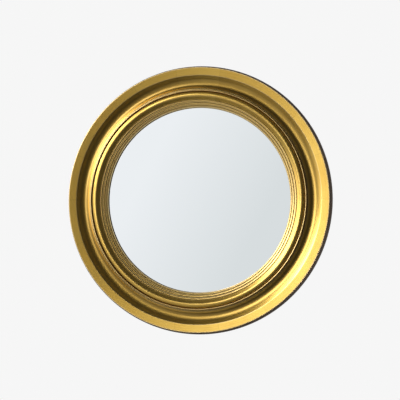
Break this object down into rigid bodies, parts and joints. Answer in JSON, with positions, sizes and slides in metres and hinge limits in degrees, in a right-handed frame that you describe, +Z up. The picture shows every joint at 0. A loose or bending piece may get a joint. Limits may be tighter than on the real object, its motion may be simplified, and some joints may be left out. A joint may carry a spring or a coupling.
{
  "type": "convex butlers mirror",
  "caption": "Round convex wall mirror in a deep scooped gilt frame with a reeded slip, backed by a board under turn buttons, with hinged D-ring hangers.",
  "frame": {"origin": "centre of the wall plane: the middle of the back hoop's rear ring", "axes": "+Y points into the wall, so the mirror faces -Y; +Z is up; +X is to the right as seen from the front"},
  "size_m": [0.507, 0.0514, 0.507],
  "materials": {
    "gilt_wood": "gold leaf over red bole, toned dark on the side, rubbed bright on the raised members",
    "toned_wood": "bronze-brown toning, satin",
    "bare_wood": "bare birch plywood",
    "hardboard": "smooth brown hardboard",
    "mirror_glass": "bent glass, silvered and painted grey on its back",
    "felt": "black felt strip",
    "zinc_steel": "bright zinc plate",
    "brass": "lacquered brass"
  },
  "bodies": {
    "frame": {"frame_moulding": "gilt_wood", "back_hoop": "toned_wood", "sight_slip": "gilt_wood", "convex_mirror_glass": "mirror_glass", "glass_felt_seal": "felt", "glass_retaining_ring": "bare_wood", "retaining_ring_screws": "zinc_steel", "back_board": "hardboard", "slip_screws": "zinc_steel", "turn_button_screws": "brass", "hanger_strap_left": "zinc_steel", "hanger_strap_right": "zinc_steel", "hanger_screws": "zinc_steel"},
    "turn_button_1": {"turn_button_1": "brass"},
    "turn_button_2": {"turn_button_2": "brass"},
    "turn_button_3": {"turn_button_3": "brass"},
    "turn_button_4": {"turn_button_4": "brass"},
    "turn_button_5": {"turn_button_5": "brass"},
    "turn_button_6": {"turn_button_6": "brass"},
    "hanger_ring_left": {"hanger_ring_left": "zinc_steel"},
    "hanger_ring_right": {"hanger_ring_right": "zinc_steel"}
  },
  "joints": [
    {"name": "turn_button_1_turn", "type": "hinge", "parent": "frame", "child": "turn_button_1", "pos_m": [0, -0.01325, 0.211], "axis": [0, 1, 0], "continuous": true},
    {"name": "turn_button_2_turn", "type": "hinge", "parent": "frame", "child": "turn_button_2", "pos_m": [-0.18273, -0.01325, 0.1055], "axis": [0, 1, 0], "continuous": true},
    {"name": "turn_button_3_turn", "type": "hinge", "parent": "frame", "child": "turn_button_3", "pos_m": [-0.18273, -0.01325, -0.1055], "axis": [0, 1, 0], "continuous": true},
    {"name": "turn_button_4_turn", "type": "hinge", "parent": "frame", "child": "turn_button_4", "pos_m": [0, -0.01325, -0.211], "axis": [0, 1, 0], "continuous": true},
    {"name": "turn_button_5_turn", "type": "hinge", "parent": "frame", "child": "turn_button_5", "pos_m": [0.18273, -0.01325, -0.1055], "axis": [0, 1, 0], "continuous": true},
    {"name": "turn_button_6_turn", "type": "hinge", "parent": "frame", "child": "turn_button_6", "pos_m": [0.18273, -0.01325, 0.1055], "axis": [0, 1, 0], "continuous": true},
    {"name": "hanger_ring_left_swing", "type": "hinge", "parent": "frame", "child": "hanger_ring_left", "pos_m": [-0.209, -0.01122, 0.046], "axis": [-1, 0, 0], "range_deg": [0, 180]},
    {"name": "hanger_ring_right_swing", "type": "hinge", "parent": "frame", "child": "hanger_ring_right", "pos_m": [0.209, -0.01122, 0.046], "axis": [-1, 0, 0], "range_deg": [0, 180]}
  ]
}
